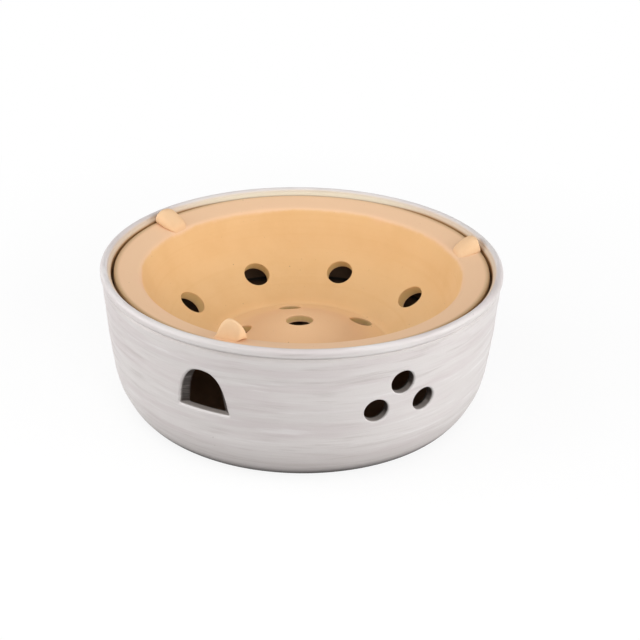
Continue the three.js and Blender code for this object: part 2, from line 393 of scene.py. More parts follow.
class Finish:
    """The nodes that make a material or the room's light"""

    def __init__(self, owner):
        self.owner = owner
        owner.use_nodes = True
        self.tree = owner.node_tree
        self.tree.nodes.clear()

    @cached_property
    def place(self):
        """Where on the piece each point lies"""
        return self.node("ShaderNodeTexCoord", output=3)

    def node(self, kind, settings=None, inputs=None, output=0):
        """Adds a node: its settings first, then the values or links of its sockets"""
        made = self.tree.nodes.new(kind)
        for name, value in (settings or {}).items():
            setattr(made, name, value)
        for name, value in (inputs or {}).items():
            if isinstance(value, Wire):
                self.tree.links.new(value.socket, made.inputs[name])
            else:
                made.inputs[name].default_value = value
        return Wire(self, made.outputs[output]) if made.outputs else None

    def noted(self, name):
        """The number kept for each place under this name"""
        return self.node("ShaderNodeAttribute", {"attribute_name": name}, output=2)

    def axis(self, index, place=None):
        """One coordinate of the place on the piece, or of another vector"""
        return self.node("ShaderNodeSeparateXYZ", inputs={0: place or self.place}, output=index)

    def scaled(self, scale, shift=(0, 0, 0), place=None):
        """The place on the piece, times a scale along each axis"""
        inputs = {0: place or self.place, 1: scale, 2: shift}
        return self.node("ShaderNodeVectorMath", {"operation": "MULTIPLY_ADD"}, inputs)

    def radius(self):
        """How far a point lies from the upright axis"""
        flat = self.scaled((1, 1, 0))
        return self.node("ShaderNodeVectorMath", {"operation": "LENGTH"}, {0: flat}, output=1)

    def clouds(self, scale, detail=2.0, roughness=0.5, shift=(0, 0, 0), place=None):
        """Soft random change from 0 to 1, with so many clouds to the metre along each axis"""
        spots = self.scaled(scale, shift, place)
        inputs = {"Vector": spots, "Scale": 1.0, "Detail": detail, "Roughness": roughness}
        return self.node("ShaderNodeTexNoise", inputs=inputs)

    def specks(self, per_metre, size, shift=(0, 0, 0)):
        """1 in scattered specks of a size in metres, else 0"""
        spots = {"Vector": self.scaled((per_metre,) * 3, shift), "Scale": 1.0}
        distance = self.node("ShaderNodeTexVoronoi", inputs=spots)
        return self.rise(distance, size * per_metre, size * per_metre * 0.45)

    def rise(self, value, low, high):
        """0 below low and 1 above high, smooth between"""
        return self.node(
            "ShaderNodeMapRange", {"interpolation_type": "SMOOTHSTEP"},
            {"Value": value, "From Min": low, "From Max": high},
        )

    def between(self, value, low, full, still, high):
        """0 below low and above high, and 1 from full to still"""
        return self.rise(value, low, full) * self.rise(value, high, still)

    def over(self, base, top, mask):
        """A colour laid over another by a mask"""
        base, top = (c if isinstance(c, Wire) else (*c, 1) for c in (base, top))
        inputs = {0: mask, 6: base, 7: top}
        return self.node("ShaderNodeMix", {"data_type": "RGBA"}, inputs, output=2)

    def seen(self):
        """1 where the camera looks, straight or by a reflection or through a clear thing, else 0"""
        ray = self.node("ShaderNodeLightPath").socket.node.outputs
        camera, glossy, clear = (
            Wire(self, ray[name]) for name in ("Is Camera Ray", "Is Glossy Ray", "Is Transmission Ray")
        )
        return camera + glossy + clear

    def bump(self, height, distance, strength=1.0, below=None):
        """The surface's small relief, laid over another"""
        inputs = {"Height": height, "Distance": distance, "Strength": strength}
        if below:
            inputs["Normal"] = below
        return self.node("ShaderNodeBump", inputs=inputs)

    def close(self, **inputs):
        """Ends the finish in one shader with these inputs"""
        inputs = {name.replace("_", " "): value for name, value in inputs.items()}
        shader = self.node("ShaderNodeBsdfPrincipled", inputs=inputs)
        self.node("ShaderNodeOutputMaterial", inputs={"Surface": shader})
        return self.owner


def white_glaze(s):
    """Brushed white glaze over tan clay, thin at the rim's inner edge, with painted shade in the
    groove, towards the foot, in the openings and over the inside, and painted light on the openings'
    upward faces
    """
    f = Finish(bpy.data.materials.new("white_glaze"))
    cut, bare = f.noted("cut"), f.noted("bare")
    height = f.axis(2)
    drift = f.node("ShaderNodeCombineXYZ", inputs={2: (f.clouds((9, 9, 20), 2) - 0.5) * (9 * MM)})
    stroke = f.node("ShaderNodeVectorMath", inputs={0: f.place, 1: drift})
    brushed = f.clouds((19, 19, 310), 4, 0.62, place=stroke)
    fine = f.clouds((34, 34, 800), 3, 0.6, (4, 1, 7), stroke)
    broad = f.clouds((9, 9, 85), 3, 0.55, (2, 8, 3), stroke)
    patches = f.clouds((15, 15, 30), 2, 0.5, (9, 2, 5))
    marks = f.rise(brushed, 0.5, 0.66) * f.rise(patches, 0.36, 0.62)
    pale = f.rise(brushed, 0.46, 0.3) * f.rise(patches, 0.66, 0.42)

    # The brushed outside, with painted shade in the groove and towards the foot
    glaze = f.over(s.glaze, s.glaze_pink, f.rise(broad, 0.42, 0.64) * 0.8)
    glaze = f.over(glaze, s.glaze_mark_and_groove_shade, marks * 0.5)
    glaze = f.over(glaze, s.glaze_light_and_lip_highlight, pale * 0.7)
    low = f.rise(height, *mm(44, 12))
    glaze = f.over(glaze, s.glaze_mark_and_groove_shade, f.rise(fine, 0.52, 0.72) * (0.2 + low * 0.4))
    # Painted shade, darker towards the base
    glaze = f.over(glaze, s.glaze_low_shade, f.rise(height, *mm(34, 8)) * 0.6)
    # Painted shade, nearly black, right at the foot
    foot = f.rise(height, *mm(15, 1))
    glaze = f.over(glaze, s.foot_shade, foot * foot * (0.85 + brushed * 0.3))
    # Painted shade in the groove under the rim
    glaze = f.over(glaze, s.glaze_mark_and_groove_shade, f.between(height, *mm(95.4, 97.4, 98.2, 99.8)) * 0.5)
    glaze = f.over(glaze, s.speck, f.specks(34, 0.42 * MM, (3, 3, 1)) * 0.85)

    # Inside the openings: painted shade that darkens to near black deeper in, painted light on the
    # faces that turn up, and a painted highlight on the lower lips
    cut_marks = f.clouds((60, 60, 620), 3, 0.6, (1, 4, 2))
    # How much a face turns up, where painted light falls
    level = f.rise(f.axis(2, f.node("ShaderNodeNewGeometry", output=1)), 0.25, 0.8)
    # Painted shade inside the openings, with lighter cut marks
    reveal = f.over(s.cut_dark, s.cut_light, f.rise(cut_marks, 0.4, 0.68))
    # Painted shade, near black, deeper into the wall
    reveal = f.over(reveal, s.cut_deep, f.rise(cut, *mm(2.5, 8.5)) * 0.95)
    # Painted light on the upward faces
    reveal = f.over(reveal, s.cut_low_lit, level * f.rise(cut, *mm(7.4, 5)) * (0.6 + cut_marks * 0.6))
    # Just inside the lip the glaze darkens into the painted shade
    reveal = f.over(s.cut_lip, reveal, f.rise(cut, *mm(0.4, 2.2)))
    # Painted highlight on the openings' upward lips
    glaze = f.over(glaze, s.glaze_light_and_lip_highlight, level * f.rise(cut, *mm(0.05, 0.3)))
    glaze = f.over(glaze, reveal, f.rise(cut + (brushed - 0.5) * (1.6 * MM), *mm(0.35, 1.3)))

    # The rim's inner edge, with painted shade in the gap beside the fire bowl and over the bare inside
    clay_clouds = f.clouds((60, 60, 60), 4, 0.6)
    sides = f.rise(f.axis(1), *mm(128, 92))
    # Paler towards the back
    clay = f.over(s.rim_pale, s.rim_clay, sides)
    # Painted shade in the gap beside the fire bowl
    clay = f.over(clay, s.gap_shade_clay, f.rise(height - sides * (1.4 * MM), *mm(100.6, 98.4)))
    # Painted shade over the bare inside, with darker patches
    clay = f.over(clay, s.inner_shade_clay, f.rise(height, *mm(94, 90)))
    clay = f.over(clay, s.bare_dark, f.rise(height, *mm(99, 92)) * f.rise(clay_clouds, 0.4, 0.75) * 0.4)
    thin = f.clouds((40, 40, 90), 3, 0.6, (5, 5, 5)) - 0.5
    # Painted shade, near black, on the openings' deeper cut faces
    edges = f.between(cut, *mm(3, 6, 6.8, 7.05)) * f.between(height, *mm(25, 30, 88, 90))
    clay = f.over(clay, s.cut_deep, edges)
    colour = f.over(glaze, clay, f.rise(bare + thin * 0.2, 0.2, 0.9))

    ridges = marks * -0.6 + brushed * 0.9 + fine * 0.35 + broad * 0.6
    grain = f.clouds((900, 900, 900), 2, 0.5)
    surface = f.bump(grain, 0.05 * MM, 0.6, f.bump(ridges, s.brush_depth))
    gloss = 0.36 + f.rise(brushed, 0.3, 0.7) * 0.16 + bare * 0.35 + foot * 0.3
    return f.close(Base_Color=colour, Roughness=gloss, Normal=surface, Specular_IOR_Level=0.45)


def orange_clay(s):
    """Unglazed orange clay: pinkish band and raised floor, painted shade on the band's outer edge,
    painted light in the valley round the floor, scattered specks
    """
    f = Finish(bpy.data.materials.new("orange_clay"))
    cut = f.noted("cut")
    radius = f.radius()
    mottle = f.clouds((28, 28, 28), 4, 0.55)
    grain = f.clouds((420, 420, 420), 3, 0.6)
    wide = f.clouds((11, 11, 11), 2, 0.5, (3, 1, 4))
    rings = f.clouds((5, 5, 420), 2, 0.5, (1, 7, 2))
    uneven = (f.clouds((36, 36, 36), 4, 0.6, (8, 8, 2)) - 0.5) * (7 * MM)

    colour = f.over(s.wall_clay, s.wall_deep, f.rise(mottle, 0.35, 0.72) * 0.55)
    colour = f.over(colour, s.wall_pale, f.rise(wide, 0.45, 0.7) * 0.5)
    colour = f.over(colour, s.wall_deep, f.rise(rings, 0.52, 0.7) * 0.22)
    # Painted light in the valley round the raised floor, against its shade
    colour = f.over(colour, s.valley_light_clay, f.between(radius, *mm(38, 52, 60, 72)))
    colour = f.over(colour, s.floor_clay, f.rise(radius + uneven, *mm(60, 40)) * 0.8)
    streaks = (f.clouds((20, 20, 20), 5, 0.7, (2, 2, 2)) - 0.5) * (5 * MM)
    colour = f.over(colour, s.band_clay, f.rise(radius + streaks, *mm(115.2, 116.9)))
    flush = f.rise(f.clouds((16, 16, 30), 3, 0.55, (6, 1, 9)), 0.48, 0.7)
    flush = flush * f.rise(radius, *mm(126, 114)) * f.rise(radius, *mm(113, 118))
    colour = f.over(colour, s.band_flush, flush * 0.6)
    sides = f.rise(f.axis(1), *mm(128, 92))
    # Painted shade on the band's outer edge beside the gap, stronger at the front and sides
    colour = f.over(colour, s.edge_shade_clay, f.rise(radius, *mm(131, 136.2)) * (0.25 + sides * 0.7))
    colour = f.over(colour, s.hole_clay, f.rise(cut, *mm(0.35, 1.6)))
    small = f.specks(88, 0.5 * MM) * 0.75
    pits = f.specks(150, 0.34 * MM, (4, 9, 1)) * 0.45
    colour = f.over(colour, s.speck, small)
    colour = f.over(colour, s.speck, pits)

    surface = f.bump(grain + mottle * 1.5 + rings * 1.2 - small * 1.5 - pits, 0.12 * MM, 0.8)
    gloss = 0.78 + f.rise(grain, 0.3, 0.7) * 0.14
    return f.close(Base_Color=colour, Roughness=gloss, Normal=surface, Specular_IOR_Level=0.3)


def pale_clay(s):
    """Hand-pinched pale clay, with painted shade, a little darker and more orange, low down where it
    meets the band
    """
    f = Finish(bpy.data.materials.new("pale_clay"))
    foot = f.noted("foot")
    mottle = f.clouds((130, 130, 130), 3, 0.55)
    grain = f.clouds((700, 700, 700), 3, 0.6)
    colour = f.over(s.clay, s.clay_deep, f.rise(mottle, 0.4, 0.72) * 0.45)
    # Painted shade low down where the rest meets the band
    colour = f.over(colour, s.rest_foot_shade, f.rise(foot, *mm(2.2, 0.2)) * 0.7)
    colour = f.over(colour, s.clay_deep, f.specks(260, 0.3 * MM) * 0.7)
    surface = f.bump(grain + mottle * 2, 0.1 * MM, 0.8)
    gloss = 0.8 + grain * 0.1
    return f.close(Base_Color=colour, Roughness=gloss, Normal=surface, Specular_IOR_Level=0.3)


def paper_floor(s):
    """White floor that the camera sees as white, and which still takes the grill's shadow"""
    f = Finish(bpy.data.materials.new("paper_floor"))
    seen = f.seen()
    lit = f.node("ShaderNodeBsdfDiffuse", inputs={"Color": f.over(s.floor, (1, 1, 1), seen)})
    glow = f.node("ShaderNodeEmission", inputs={"Color": (1, 1, 1, 1), "Strength": 1.0})
    white = s.floor_glow + f.rise(f.radius(), 0.24, 0.6) * (1 - s.floor_glow)
    mixed = f.node("ShaderNodeMixShader", inputs={0: seen * white, 1: lit, 2: glow})
    f.node("ShaderNodeOutputMaterial", inputs={"Surface": mixed})
    return f.owner


def room_light(s):
    """Soft even light from all round, which the camera sees as white"""
    f = Finish(bpy.data.worlds.new("room"))
    soft = f.node("ShaderNodeBackground", inputs={"Color": (1, 1, 1, 1), "Strength": s.room})
    white = f.node("ShaderNodeBackground", inputs={"Color": (1, 1, 1, 1), "Strength": 1.0})
    mixed = f.node("ShaderNodeMixShader", inputs={0: f.seen(), 1: soft, 2: white})
    f.node("ShaderNodeOutputWorld", inputs={"Surface": mixed})
    return f.owner


# -------- settings

def length(name, description, size):
    """A length that is given here in millimetres"""
    return FloatProperty(
        name=name, description=description, default=size * MM, min=0, unit="LENGTH",
        subtype="DISTANCE", precision=5,
    )


def fraction(name, description, default, low):
    return FloatProperty(
        name=name, description=description, default=default, min=low, max=1, subtype="FACTOR"
    )


def strength(name, description, default):
    return FloatProperty(name=name, description=description, default=default, min=0)


def colour(name, description, *value):
    return FloatVectorProperty(
        name=name, description=description, default=value, min=0, max=1, size=3, subtype="COLOR"
    )


def count(name, description, default, low):
    return IntProperty(name=name, description=description, default=default, min=low)


class OuterBowlSettings(bpy.types.PropertyGroup):
    rim_radius: length("Rim radius", "Outermost radius of the rim", outer_high.x / MM)
    height: length("Height", "Height of the rim above the table", outer_high.z / MM)
    base_radius: length("Base radius", "Outer radius of the foot", 120.5)
    bead_width: length("Bead width", "Width of the rounded rim", 5.6)
    bead_height: length("Bead height", "Height of the rim above its groove", 6)
    groove_depth: length("Groove depth", "Depth of the groove under the rim", 1.0)
    wall: length("Wall", "Thickness of the side", 7.5)
    foot_width: length("Foot width", "Width of the foot ring", 16)
    ridge: length("Ridges", "Height of the throwing ridges on the side", 0.22)
    lip: length("Lip softness", "How far the glaze rounds the openings' lips", 1.5)
    mouth_width: length("Mouth width", "Width of each draught mouth", 38.2)
    mouth_height: length("Mouth height", "Height of each draught mouth above its sill", 30.4)
    mouth_taper: fraction("Mouth taper", "Share of a mouth's width left at the inner skin", 0.74, 0.5)
    sill_height: length("Sill height", "Height of the mouths' sills", 50.2)
    hole: length("Hole", "Diameter of the round draught holes", 17)
    turns: count("Turns", "Faces round the bowl", 300, 60)
    brush_depth: length("Brush depth", "Depth of the brush marks in the glaze", 0.16)
    glaze: colour("Glaze", "The glaze's main white", 0.654, 0.617, 0.604)
    glaze_pink: colour("Pinkish glaze", "Where the glaze is thinner", 0.6, 0.544, 0.54)
    # Also the painted shade in the groove under the rim
    glaze_mark_and_groove_shade: colour("Brush marks", "Darker brush marks", 0.488, 0.444, 0.427)
    # Also the painted highlight on the openings' lower lips
    glaze_light_and_lip_highlight: colour("Light marks", "Thick white brush marks", 0.73, 0.702, 0.694)
    # Painted shade towards the base
    glaze_low_shade: colour("Low glaze", "The glaze near the base", 0.51, 0.464, 0.446)
    # Painted shade, nearly black, at the foot
    foot_shade: colour("Foot shade", "Painted shade, nearly black, at the foot", 0.02, 0.017, 0.015)
    # Glaze darkening into the painted shade of the openings
    cut_lip: colour("Cut lip", "Glaze just inside the openings", 0.42, 0.385, 0.365)
    # Painted shade inside the openings
    cut_light: colour("Cut light", "Lighter cut marks inside the openings", 0.11, 0.092, 0.084)
    cut_dark: colour("Cut dark", "Inside the openings", 0.03, 0.022, 0.019)
    cut_deep: colour("Cut deep", "The openings' inner edges", 0.012, 0.009, 0.008)
    # Painted light on the openings' upward faces
    cut_low_lit: colour("Cut low", "Painted light on the openings' upward faces", 0.34, 0.305, 0.285)
    rim_clay: colour("Rim clay", "Thin glaze on the rim's inner edge", 0.66, 0.53, 0.4)
    # Paler towards the back
    rim_pale: colour("Pale rim clay", "The same, paler towards the back", 0.7, 0.62, 0.48)
    # Painted shade in the gap beside the fire bowl
    gap_shade_clay: colour("Throat clay", "Brown clay beside the fire bowl", 0.42, 0.22, 0.085)
    # Painted shade over the bare inside
    inner_shade_clay: colour("Bare clay", "Clay inside the bowl", 0.15, 0.085, 0.045)
    bare_dark: colour("Dark clay", "Darker patches inside the bowl", 0.08, 0.045, 0.026)
    speck: colour("Specks", "Iron specks in the glaze", 0.09, 0.06, 0.05)


class FireBowlSettings(bpy.types.PropertyGroup):
    edge_radius: length("Edge radius", "Outermost radius of the band", fire_high.x / MM)
    edge_height: length("Edge height", "Height of the band's outer edge", fire_high.z / MM)
    rim: length("Rim thickness", "Thickness of the rim that hangs on the ledge", 10)
    band_width: length("Band width", "Width of the sloping band", 19.1)
    band_drop: length("Band drop", "How far the band slopes down inwards", 4.4)
    wall: length("Wall", "Thickness of the wall", 8.5)
    floor: length("Floor", "Thickness of the raised floor", 5.8)
    valley_radius: length("Valley radius", "Radius of the valley round the raised floor", 66)
    valley_depth: length("Valley depth", "Depth of the valley under the band's edge", 65.2)
    rise: length("Rise", "Height of the raised floor above the valley", 18.2)
    lip: length("Lip softness", "How far the holes' lips are rounded", 0.6)
    wall_hole: length("Wall hole", "Diameter of the holes in the wall", 20.4)
    floor_hole: length("Floor hole", "Diameter of the holes in the raised floor", 17)
    middle_hole: length("Middle hole", "Diameter of the middle hole", 20.3)
    turns: count("Turns", "Faces round the bowl", 288, 60)
    wall_clay: colour("Wall clay", "Main orange of the inside", 0.769, 0.496, 0.243)
    wall_deep: colour("Deep clay", "Deeper patches", 0.72, 0.442, 0.199)
    wall_pale: colour("Pale clay", "Paler patches", 0.8, 0.541, 0.291)
    # Painted light in the valley round the raised floor
    valley_light_clay: colour("Valley clay", "The dip round the raised floor", 0.88, 0.58, 0.31)
    band_flush: colour("Band flush", "Warm patches on the band's inner part", 0.83, 0.508, 0.338)
    floor_clay: colour("Floor clay", "The raised floor", 0.9, 0.57, 0.33)
    band_clay: colour("Band clay", "The sloping band", 0.81, 0.539, 0.338)
    # Painted shade on the band's outer edge
    edge_shade_clay: colour("Edge clay", "The band's outer edge", 0.42, 0.265, 0.125)
    hole_clay: colour("Hole clay", "Inside the holes", 0.76, 0.53, 0.24)
    speck: colour("Specks", "Dark specks and pits", 0.2, 0.11, 0.06)


class NetRestSettings(bpy.types.PropertyGroup):
    sink: length("Sink", "How far each rest is pressed into the band", 0.8)
    pinch: length("Pinch", "Unevenness left by the fingers", 0.45)
    clay: colour("Clay", "Main colour of the rests", 0.8, 0.54, 0.32)
    clay_deep: colour("Deep clay", "Deeper patches", 0.78, 0.5, 0.28)
    flare: length("Flare", "How far each rest's foot is smeared out", 1.1)
    # Painted shade where a rest meets the band
    rest_foot_shade: colour("Foot clay", "Where a rest meets the band", 0.76, 0.49, 0.29)


class StageSettings(bpy.types.PropertyGroup):
    floor: colour("Floor", "Colour of the floor as it lights the grill", 0.45, 0.45, 0.45)
    floor_glow: fraction("Floor white", "Share of white that the camera sees in the floor", 0.85, 0)
    room: strength("Room light", "Strength of the light from all round", 0.25)
    lamp: strength("Lamps", "Strength of all the lamps, where 1 leaves each at its own watts", 1.0)


# -------- outer bowl

# Bearings of the mouths and of the clusters of holes, and a cluster's holes across and up, in mm
MOUTHS = [243, 3, 123]
CLUSTERS = [297.9, 57.9, 177.9]
CLUSTER = [(-18.2, 55.2), (18.2, 55.2), (0, 73.3)]


def outer_outline(s):
    """The outer bowl's side, its glazed skin from the foot over the rim, and its whole outline from
    the middle of its foot round to its floor"""
    rim, top, base = s.rim_radius, s.height, s.base_radius
    bead = s.bead_width / 2
    shoulder, shoulder_z = rim - 1.2 * MM, top - s.bead_height - 2.6 * MM
    side = [Vector((r, z)) for z, r in table(SIDE, shoulder_z, 0, shoulder, base)][::-1]
    foot, recess = base - s.foot_width, 1.5 * MM
    start = softened(
        [(0, recess, 0), (foot - 2 * MM, recess, 1 * MM), (foot, 0, 0.8 * MM), (base, 0, 0)]
    )
    outside = flowing(side, 1.0 * MM)
    groove = flowing(
        [side[-1] - Vector((0, 0.9 * MM)), side[-1] + Vector((-0.2 * MM, 0.2 * MM)),
         (shoulder - s.groove_depth, shoulder_z + 1.4 * MM), (rim - 0.55 * MM, shoulder_z + 2.9 * MM),
         (rim - 0.08 * MM, shoulder_z + 3.7 * MM), (rim, top - bead - 0.2 * MM)],
        0.4 * MM,
    )
    bead_line = [
        Vector((rim - bead + bead * math.cos(a), top - bead + bead * math.sin(a)))
        for a in np.linspace(0.05, math.pi, 26)
    ]

    inside_at = lambda z: along(outside, z, 1) - s.wall
    mouth, ledge = rim - 7.5 * MM, top - 14.2 * MM
    ledge_end, under_ledge, straight = mouth - 9.8 * MM, ledge - 9.6 * MM, 56 * MM
    well = softened(
        [(rim - s.bead_width, top - bead, 0), (mouth, top - 4.4 * MM, 1.2 * MM),
         (mouth, ledge, 2.2 * MM), (ledge_end, ledge, 0.9 * MM),
         (ledge_end, ledge - 2.6 * MM, 1 * MM), (inside_at(under_ledge), under_ledge, 5 * MM),
         (inside_at(straight), straight, 0)]
    )
    bend_z, bend_reach, floor_z = mm(31.5, 18, 9.5)
    bend = inside_at(bend_z)
    well += [Vector((inside_at(z * MM), z * MM)) for z in range(54, 31, -2)]
    well += [
        Vector((bend - bend_reach * (1 - math.cos(a)), bend_z - (bend_z - floor_z) * math.sin(a)))
        for a in np.linspace(0, math.pi / 2, 18)
    ]
    well.append(Vector((0, floor_z)))
    outline = (
        evened(start, 7 * MM)[:-1] + [p for p in outside if p.y < side[-1].y - 1.3 * MM]
        + groove + bead_line[:-1] + evened(well, 2.2 * MM)
    )
    skin = [p for p in start if p.x > foot] + outside + groove + bead_line
    return outside, skin, outline


def outer_waver(s, outside):
    """How far the outer bowl's skin stands out or in: throwing ridges, brush marks and wobble"""
    def waver(radius, height, bearing):
        around = Vector((math.cos(bearing), math.sin(bearing), 0)) * 1.6
        slow = noise.noise(around + Vector((0, 0, height * 9)))
        if height > GROOVE or height < 1 * MM or radius < s.base_radius:
            return slow * WOBBLE
        fade = min(1, (GROOVE - height) / (4 * MM)) * min(1, height / (8 * MM))
        ridge = noise.noise(around * 0.6 + Vector((7, 0, height * 150)))
        brush = noise.noise(around * 2.4 + Vector((3, 5, height * 520)))
        depth = 1 if radius > along(outside, height, 1) - 2 * MM else 0.3
        return slow * WOBBLE + fade * depth * s.ridge * (ridge + brush * 0.5)
    return waver


class GRILL_OT_outer_bowl(bpy.types.Operator):
    """Make the glazed outer bowl with its mouths and draught holes"""
    bl_idname = "grill.outer_bowl"
    bl_label = "Outer bowl"

    def execute(self, context):
        s = context.scene.grill_outer
        fresh("outer_bowl_glazed")
        outside, skin, outline = outer_outline(s)
        waver = outer_waver(s, outside)
        bowl = mesh_object("outer_bowl_glazed", *turned(outline, s.turns, waver))

        def skins(bearing):
            """How far out the two skins lie, by how far across and up from a bearing"""
            def near(across, up):
                reach = along(outside, up, 1)
                angle = bearing + math.asin(across / reach)
                return math.sqrt((reach + waver(reach, up, angle)) ** 2 - across**2)

            def far(across, up):
                return math.sqrt((along(outside, up, 1) - s.wall) ** 2 - across**2)

            return near, far

        cutters = []
        shape = half_moon_edge(s.mouth_width, s.mouth_height, 1.1 * MM)
        mouth = [p + Vector((0, s.sill_height)) for p in shape]
        for degrees in MOUTHS:
            bearing = math.radians(degrees)
            seat = upright(bearing)
            cutters.append(cutter(mouth, *skins(bearing), seat, s.lip * 1.3, 2 * MM, s.mouth_taper))
        reach = along(outside, CLUSTER[0][1] * MM, 1)
        for degrees in CLUSTERS:
            for across, up in CLUSTER:
                bearing = math.radians(degrees) + math.atan(across * MM / reach)
                edge = [p + Vector((0, up * MM)) for p in round_edge(s.hole)]
                cutters.append(cutter(edge, *skins(bearing), upright(bearing), s.lip * 0.8, 1 * MM))
        pierce(bowl, cutters)

        places = places_of(bowl)
        note(bowl, "cut", np.maximum(depth_under(places, skin) - 0.3 * MM, 0))
        radius, height = np.hypot(places[:, 0], places[:, 1]), places[:, 2]
        under_skin = np.interp(height, [p.y for p in outside], [p.x for p in outside]) - radius
        glazed = 4.2 * MM  # how far in the glaze runs, over the rim and through the openings
        low_bare = np.clip((under_skin - glazed) / (2.4 * MM), 0, 1)
        top_bare = np.clip((s.rim_radius - glazed - radius) / (2 * MM), 0, 1)
        foot_bare = (height < 0.2 * MM) | ((height < 2 * MM) & (radius < s.base_radius - 1 * MM))
        note(bowl, "bare", np.maximum(np.where(height > GROOVE, top_bare, low_bare), foot_bare))
        finish_piece(bowl, white_glaze(s), "outer", "white_glaze", "outer_bowl")
        bowl.modifiers.new("even shading", "WEIGHTED_NORMAL")
        return {"FINISHED"}


# -------- fire bowl

# The holes were spaced one by one. Those in the wall: bearing in degrees, share of the way in to the
# valley. Those in the raised floor: bearing in degrees, radius in mm.
WALL_HOLES = [
    (25.1, 0.485), (70.6, 0.513), (114, 0.539), (160.1, 0.554), (205.3, 0.558), (250, 0.545),
    (295, 0.515), (340, 0.491),
]
FLOOR_HOLES = [(33.9, 55.2), (100.3, 50.9), (171.9, 46.5), (245.5, 48), (320, 51.5)]
MIDDLE_HOLE = (109, 4.4)


def fire_outlines(s):
    """The fire bowl's inside, underside and whole outline, in the frame"""
    edge, top = s.edge_radius, s.edge_height
    throat, throat_z = edge - s.band_width, top - s.band_drop
    valley, valley_z = s.valley_radius, top - s.valley_depth
    inside = table(WALL, throat, valley, throat_z, valley_z)
    inside += table(DOME, valley, 0, valley_z, valley_z + s.rise)
    smooth = flowing(inside, 1.4 * MM)
    under = []
    for k in range(0, len(smooth), 2):
        here = smooth[k]
        run = smooth[max(k - 1, 0)] - smooth[min(k + 1, len(smooth) - 1)]
        share = min(1, max(0, (here.x - valley) / (throat - valley) * 3))
        thick = s.floor + (s.wall - s.floor) * share
        place = here + Vector((run.y, -run.x)).normalized() * thick
        if place.x > 1 * MM and place.y < top - s.rim - 1.5 * MM:
            under.append(place)
    under.append(Vector((0, valley_z + s.rise - s.floor)))
    under.reverse()
    root, past_bend = throat + 8.2 * MM, 4
    flange = softened(
        [(*under[-1], 0), (root, top - s.rim, 2.5 * MM), (edge, top - s.rim, 1.4 * MM),
         (edge, top, 1.7 * MM), (throat, throat_z, 3 * MM), (*smooth[past_bend], 0)]
    )
    outline = under[:-1] + evened(flange, 1.6 * MM)[:-1] + smooth[past_bend:]
    return smooth, under, outline


def meeting(place, direction, height_at, reach=24 * MM):
    """How far along a direction, within reach either way, a line from a place meets a turned skin"""
    low, high = -reach, reach
    for _ in range(26):  # halvings, down to far less than a micron
        middle = (low + high) / 2
        here = place + direction * middle
        above = here.z > height_at(math.hypot(here.x, here.y))
        low, high = (low, middle) if above else (middle, high)
    return low


class GRILL_OT_fire_bowl(bpy.types.Operator):
    """Make the pierced clay fire bowl that hangs in the outer bowl"""
    bl_idname = "grill.fire_bowl"
    bl_label = "Fire bowl"

    def execute(self, context):
        s = context.scene.grill_fire
        fresh("fire_bowl_pierced")
        inside, under, outline = fire_outlines(s)

        def waver(radius, height, bearing):
            around = Vector((math.cos(bearing), math.sin(bearing), 0))
            slow = noise.noise(around * 1.7 + Vector((5, 0, height * 8)))
            rings = noise.noise(around * 0.8 + Vector((1, 9, height * 260)))
            return slow * WOBBLE + rings * 0.06 * MM

        bowl = mesh_object("fire_bowl_pierced", *turned(outline, s.turns, waver))
        inner_height = lambda r: along(inside, r)
        under_height = lambda r: along(under, r)

        def plug(diameter, centre, out, up):
            """A cutter whose plug points along out, into the open bowl"""
            side = up.cross(out)
            seat = Matrix((side, up, out)).transposed().to_4x4()
            seat.translation = centre

            def skin(height_at):
                def found(across, rise):
                    place = centre + side * across + up * rise
                    return meeting(place, out, height_at)
                return found

            near, far = skin(inner_height), skin(under_height)
            return cutter(round_edge(diameter), near, far, seat, s.lip, s.lip)

        throat = s.edge_radius - s.band_width
        run = 8 * MM  # how far either side of a hole the wall's slope is taken from
        cutters = []
        for degrees, way in WALL_HOLES:
            turn = Matrix.Rotation(math.radians(degrees), 3, "Z")
            radius = throat - (throat - s.valley_radius) * way
            rise = inner_height(radius + run) - inner_height(radius - run)
            slope = math.atan2(rise, 2 * run)
            centre = turn @ Vector((radius, 0, inner_height(radius)))
            out = turn @ Vector((-math.sin(slope), 0, math.cos(slope)))
            up = turn @ Vector((math.cos(slope), 0, math.sin(slope)))
            cutters.append(plug(s.wall_hole, centre, out, up))
        in_floor = [(*hole, s.floor_hole) for hole in FLOOR_HOLES] + [(*MIDDLE_HOLE, s.middle_hole)]
        for degrees, radius, diameter in in_floor:
            turn = Matrix.Rotation(math.radians(degrees), 3, "Z")
            centre = turn @ Vector((radius * MM, 0, inner_height(radius * MM)))
            cutters.append(plug(diameter, centre, Vector((0, 0, 1)), turn @ Vector((1, 0, 0))))
        pierce(bowl, cutters)

        note(bowl, "cut", np.maximum(depth_under(places_of(bowl), outline) - 0.25 * MM, 0))
        finish_piece(bowl, orange_clay(s), "fire", "orange_clay", "fire_bowl")
        bowl.modifiers.new("even shading", "WEIGHTED_NORMAL")
        return {"FINISHED"}


# -------- net rests

# Each rest: bearing in degrees, inset of its outer end, length, width and height in mm, how far its
# crown lies to its left as a share of its width, and the roundness of its left side, its right side,
# its fall inwards and its ends seen from above: 1 is a plain arch, and less is squarer
RESTS = [
    (248.4, 6.6, 12.6, 19.6, 15, 0.02, 0.45, 1.9, 1, 0.5),
    (13.9, 0.4, 16.4, 17, 9.2, 0.1, 0.5, 1.1, 0.6, 0.4),
    (144.3, 0.2, 17.6, 18.6, 10, 0, 0.5, 0.5, 0.5, 0.4),
]


